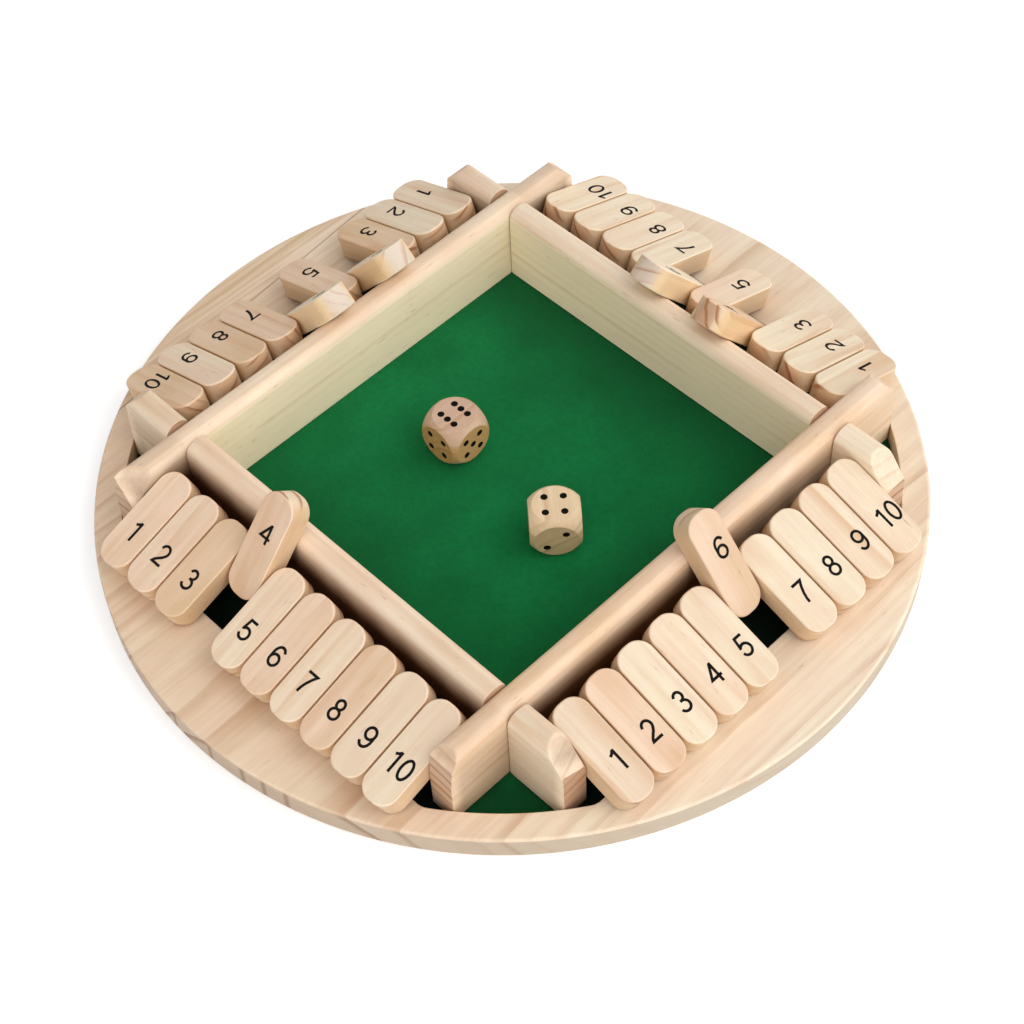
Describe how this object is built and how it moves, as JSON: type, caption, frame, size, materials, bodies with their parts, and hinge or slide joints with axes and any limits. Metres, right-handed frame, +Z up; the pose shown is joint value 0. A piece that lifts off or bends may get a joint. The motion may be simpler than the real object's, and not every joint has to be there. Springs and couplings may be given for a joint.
{
  "type": "shut the box game",
  "caption": "Round wooden dice board with a felt-lined square pit, rows of hinged number tiles on rods around it and loose wooden dice.",
  "frame": {"origin": "on the table, under the centre of the round board", "axes": "+Z up, +X along the two cross rails, +Y along the two long rails"},
  "size_m": [0.31, 0.31, 0.0534],
  "materials": {
    "board_pine": "sanded bare pine",
    "rail_pine": "sanded bare pine",
    "tile_pine": "sanded bare pine with black numbers",
    "dice_wood": "smooth wood with black pips",
    "fibreboard": "plain fibreboard",
    "green_felt": "short green felt",
    "rod_steel": "plain steel rod"
  },
  "bodies": {
    "board": {"base_board": "fibreboard", "felt_mat": "green_felt", "ring_board": "board_pine", "long_rail_left": "rail_pine", "long_rail_right": "rail_pine", "cross_rail_front": "rail_pine", "cross_rail_back": "rail_pine", "stub_rail_front_left": "rail_pine", "stub_rail_front_right": "rail_pine", "stub_rail_back_left": "rail_pine", "stub_rail_back_right": "rail_pine", "hinge_rod_front": "rod_steel", "hinge_rod_right": "rod_steel", "hinge_rod_back": "rod_steel", "hinge_rod_left": "rod_steel"},
    "tile_front_1": {"tile_front_1": "tile_pine"},
    "tile_front_2": {"tile_front_2": "tile_pine"},
    "tile_front_3": {"tile_front_3": "tile_pine"},
    "tile_front_4": {"tile_front_4": "tile_pine"},
    "tile_front_5": {"tile_front_5": "tile_pine"},
    "tile_front_6": {"tile_front_6": "tile_pine"},
    "tile_front_7": {"tile_front_7": "tile_pine"},
    "tile_front_8": {"tile_front_8": "tile_pine"},
    "tile_front_9": {"tile_front_9": "tile_pine"},
    "tile_front_10": {"tile_front_10": "tile_pine"},
    "tile_right_1": {"tile_right_1": "tile_pine"},
    "tile_right_2": {"tile_right_2": "tile_pine"},
    "tile_right_3": {"tile_right_3": "tile_pine"},
    "tile_right_4": {"tile_right_4": "tile_pine"},
    "tile_right_5": {"tile_right_5": "tile_pine"},
    "tile_right_6": {"tile_right_6": "tile_pine"},
    "tile_right_7": {"tile_right_7": "tile_pine"},
    "tile_right_8": {"tile_right_8": "tile_pine"},
    "tile_right_9": {"tile_right_9": "tile_pine"},
    "tile_right_10": {"tile_right_10": "tile_pine"},
    "tile_back_1": {"tile_back_1": "tile_pine"},
    "tile_back_2": {"tile_back_2": "tile_pine"},
    "tile_back_3": {"tile_back_3": "tile_pine"},
    "tile_back_4": {"tile_back_4": "tile_pine"},
    "tile_back_5": {"tile_back_5": "tile_pine"},
    "tile_back_6": {"tile_back_6": "tile_pine"},
    "tile_back_7": {"tile_back_7": "tile_pine"},
    "tile_back_8": {"tile_back_8": "tile_pine"},
    "tile_back_9": {"tile_back_9": "tile_pine"},
    "tile_back_10": {"tile_back_10": "tile_pine"},
    "tile_left_1": {"tile_left_1": "tile_pine"},
    "tile_left_2": {"tile_left_2": "tile_pine"},
    "tile_left_3": {"tile_left_3": "tile_pine"},
    "tile_left_4": {"tile_left_4": "tile_pine"},
    "tile_left_5": {"tile_left_5": "tile_pine"},
    "tile_left_6": {"tile_left_6": "tile_pine"},
    "tile_left_7": {"tile_left_7": "tile_pine"},
    "tile_left_8": {"tile_left_8": "tile_pine"},
    "tile_left_9": {"tile_left_9": "tile_pine"},
    "tile_left_10": {"tile_left_10": "tile_pine"},
    "die_a": {"die_a": "dice_wood"},
    "die_b": {"die_b": "dice_wood"}
  },
  "joints": [
    {"name": "tile_front_1_hinge", "type": "hinge", "parent": "board", "child": "tile_front_1", "pos_m": [-0.06975, -0.1021, 0.0261], "axis": [-1, 0, 0], "range_deg": [0, 150.39]},
    {"name": "tile_front_2_hinge", "type": "hinge", "parent": "board", "child": "tile_front_2", "pos_m": [-0.05425, -0.1021, 0.0261], "axis": [-1, 0, 0], "range_deg": [0, 150.39]},
    {"name": "tile_front_3_hinge", "type": "hinge", "parent": "board", "child": "tile_front_3", "pos_m": [-0.03875, -0.1021, 0.0261], "axis": [-1, 0, 0], "range_deg": [0, 150.39]},
    {"name": "tile_front_4_hinge", "type": "hinge", "parent": "board", "child": "tile_front_4", "pos_m": [-0.02325, -0.1021, 0.0261], "axis": [-1, 0, 0], "range_deg": [-150.39, 0]},
    {"name": "tile_front_5_hinge", "type": "hinge", "parent": "board", "child": "tile_front_5", "pos_m": [-0.00775, -0.1021, 0.0261], "axis": [-1, 0, 0], "range_deg": [0, 150.39]},
    {"name": "tile_front_6_hinge", "type": "hinge", "parent": "board", "child": "tile_front_6", "pos_m": [0.00775, -0.1021, 0.0261], "axis": [-1, 0, 0], "range_deg": [0, 150.39]},
    {"name": "tile_front_7_hinge", "type": "hinge", "parent": "board", "child": "tile_front_7", "pos_m": [0.02325, -0.1021, 0.0261], "axis": [-1, 0, 0], "range_deg": [0, 150.39]},
    {"name": "tile_front_8_hinge", "type": "hinge", "parent": "board", "child": "tile_front_8", "pos_m": [0.03875, -0.1021, 0.0261], "axis": [-1, 0, 0], "range_deg": [0, 150.39]},
    {"name": "tile_front_9_hinge", "type": "hinge", "parent": "board", "child": "tile_front_9", "pos_m": [0.05425, -0.1021, 0.0261], "axis": [-1, 0, 0], "range_deg": [0, 150.39]},
    {"name": "tile_front_10_hinge", "type": "hinge", "parent": "board", "child": "tile_front_10", "pos_m": [0.06975, -0.1021, 0.0261], "axis": [-1, 0, 0], "range_deg": [0, 150.39]},
    {"name": "tile_right_1_hinge", "type": "hinge", "parent": "board", "child": "tile_right_1", "pos_m": [0.1021, -0.06975, 0.0261], "axis": [0, -1, 0], "range_deg": [0, 150.39]},
    {"name": "tile_right_2_hinge", "type": "hinge", "parent": "board", "child": "tile_right_2", "pos_m": [0.1021, -0.05425, 0.0261], "axis": [0, -1, 0], "range_deg": [0, 150.39]},
    {"name": "tile_right_3_hinge", "type": "hinge", "parent": "board", "child": "tile_right_3", "pos_m": [0.1021, -0.03875, 0.0261], "axis": [0, -1, 0], "range_deg": [0, 150.39]},
    {"name": "tile_right_4_hinge", "type": "hinge", "parent": "board", "child": "tile_right_4", "pos_m": [0.1021, -0.02325, 0.0261], "axis": [0, -1, 0], "range_deg": [0, 150.39]},
    {"name": "tile_right_5_hinge", "type": "hinge", "parent": "board", "child": "tile_right_5", "pos_m": [0.1021, -0.00775, 0.0261], "axis": [0, -1, 0], "range_deg": [0, 150.39]},
    {"name": "tile_right_6_hinge", "type": "hinge", "parent": "board", "child": "tile_right_6", "pos_m": [0.1021, 0.00775, 0.0261], "axis": [0, -1, 0], "range_deg": [-150.39, 0]},
    {"name": "tile_right_7_hinge", "type": "hinge", "parent": "board", "child": "tile_right_7", "pos_m": [0.1021, 0.02325, 0.0261], "axis": [0, -1, 0], "range_deg": [0, 150.39]},
    {"name": "tile_right_8_hinge", "type": "hinge", "parent": "board", "child": "tile_right_8", "pos_m": [0.1021, 0.03875, 0.0261], "axis": [0, -1, 0], "range_deg": [0, 150.39]},
    {"name": "tile_right_9_hinge", "type": "hinge", "parent": "board", "child": "tile_right_9", "pos_m": [0.1021, 0.05425, 0.0261], "axis": [0, -1, 0], "range_deg": [0, 150.39]},
    {"name": "tile_right_10_hinge", "type": "hinge", "parent": "board", "child": "tile_right_10", "pos_m": [0.1021, 0.06975, 0.0261], "axis": [0, -1, 0], "range_deg": [0, 150.39]},
    {"name": "tile_back_1_hinge", "type": "hinge", "parent": "board", "child": "tile_back_1", "pos_m": [0.06975, 0.1021, 0.0261], "axis": [1, 0, 0], "range_deg": [0, 150.39]},
    {"name": "tile_back_2_hinge", "type": "hinge", "parent": "board", "child": "tile_back_2", "pos_m": [0.05425, 0.1021, 0.0261], "axis": [1, 0, 0], "range_deg": [0, 150.39]},
    {"name": "tile_back_3_hinge", "type": "hinge", "parent": "board", "child": "tile_back_3", "pos_m": [0.03875, 0.1021, 0.0261], "axis": [1, 0, 0], "range_deg": [0, 150.39]},
    {"name": "tile_back_4_hinge", "type": "hinge", "parent": "board", "child": "tile_back_4", "pos_m": [0.02325, 0.1021, 0.0261], "axis": [1, 0, 0], "range_deg": [-150.39, 0]},
    {"name": "tile_back_5_hinge", "type": "hinge", "parent": "board", "child": "tile_back_5", "pos_m": [0.00775, 0.1021, 0.0261], "axis": [1, 0, 0], "range_deg": [0, 150.39]},
    {"name": "tile_back_6_hinge", "type": "hinge", "parent": "board", "child": "tile_back_6", "pos_m": [-0.00775, 0.1021, 0.0261], "axis": [1, 0, 0], "range_deg": [-150.39, 0]},
    {"name": "tile_back_7_hinge", "type": "hinge", "parent": "board", "child": "tile_back_7", "pos_m": [-0.02325, 0.1021, 0.0261], "axis": [1, 0, 0], "range_deg": [0, 150.39]},
    {"name": "tile_back_8_hinge", "type": "hinge", "parent": "board", "child": "tile_back_8", "pos_m": [-0.03875, 0.1021, 0.0261], "axis": [1, 0, 0], "range_deg": [0, 150.39]},
    {"name": "tile_back_9_hinge", "type": "hinge", "parent": "board", "child": "tile_back_9", "pos_m": [-0.05425, 0.1021, 0.0261], "axis": [1, 0, 0], "range_deg": [0, 150.39]},
    {"name": "tile_back_10_hinge", "type": "hinge", "parent": "board", "child": "tile_back_10", "pos_m": [-0.06975, 0.1021, 0.0261], "axis": [1, 0, 0], "range_deg": [0, 150.39]},
    {"name": "tile_left_1_hinge", "type": "hinge", "parent": "board", "child": "tile_left_1", "pos_m": [-0.1021, 0.06975, 0.0261], "axis": [0, 1, 0], "range_deg": [0, 150.39]},
    {"name": "tile_left_2_hinge", "type": "hinge", "parent": "board", "child": "tile_left_2", "pos_m": [-0.1021, 0.05425, 0.0261], "axis": [0, 1, 0], "range_deg": [0, 150.39]},
    {"name": "tile_left_3_hinge", "type": "hinge", "parent": "board", "child": "tile_left_3", "pos_m": [-0.1021, 0.03875, 0.0261], "axis": [0, 1, 0], "range_deg": [0, 150.39]},
    {"name": "tile_left_4_hinge", "type": "hinge", "parent": "board", "child": "tile_left_4", "pos_m": [-0.1021, 0.02325, 0.0261], "axis": [0, 1, 0], "range_deg": [-150.39, 0]},
    {"name": "tile_left_5_hinge", "type": "hinge", "parent": "board", "child": "tile_left_5", "pos_m": [-0.1021, 0.00775, 0.0261], "axis": [0, 1, 0], "range_deg": [0, 150.39]},
    {"name": "tile_left_6_hinge", "type": "hinge", "parent": "board", "child": "tile_left_6", "pos_m": [-0.1021, -0.00775, 0.0261], "axis": [0, 1, 0], "range_deg": [-150.39, 0]},
    {"name": "tile_left_7_hinge", "type": "hinge", "parent": "board", "child": "tile_left_7", "pos_m": [-0.1021, -0.02325, 0.0261], "axis": [0, 1, 0], "range_deg": [0, 150.39]},
    {"name": "tile_left_8_hinge", "type": "hinge", "parent": "board", "child": "tile_left_8", "pos_m": [-0.1021, -0.03875, 0.0261], "axis": [0, 1, 0], "range_deg": [0, 150.39]},
    {"name": "tile_left_9_hinge", "type": "hinge", "parent": "board", "child": "tile_left_9", "pos_m": [-0.1021, -0.05425, 0.0261], "axis": [0, 1, 0], "range_deg": [0, 150.39]},
    {"name": "tile_left_10_hinge", "type": "hinge", "parent": "board", "child": "tile_left_10", "pos_m": [-0.1021, -0.06975, 0.0261], "axis": [0, 1, 0], "range_deg": [0, 150.39]},
    {"name": "die_a_lift", "type": "slide", "parent": "board", "child": "die_a", "axis": [0, 0, 1], "range_m": [0, 0.06]},
    {"name": "die_b_lift", "type": "slide", "parent": "board", "child": "die_b", "axis": [0, 0, 1], "range_m": [0, 0.06]}
  ]
}
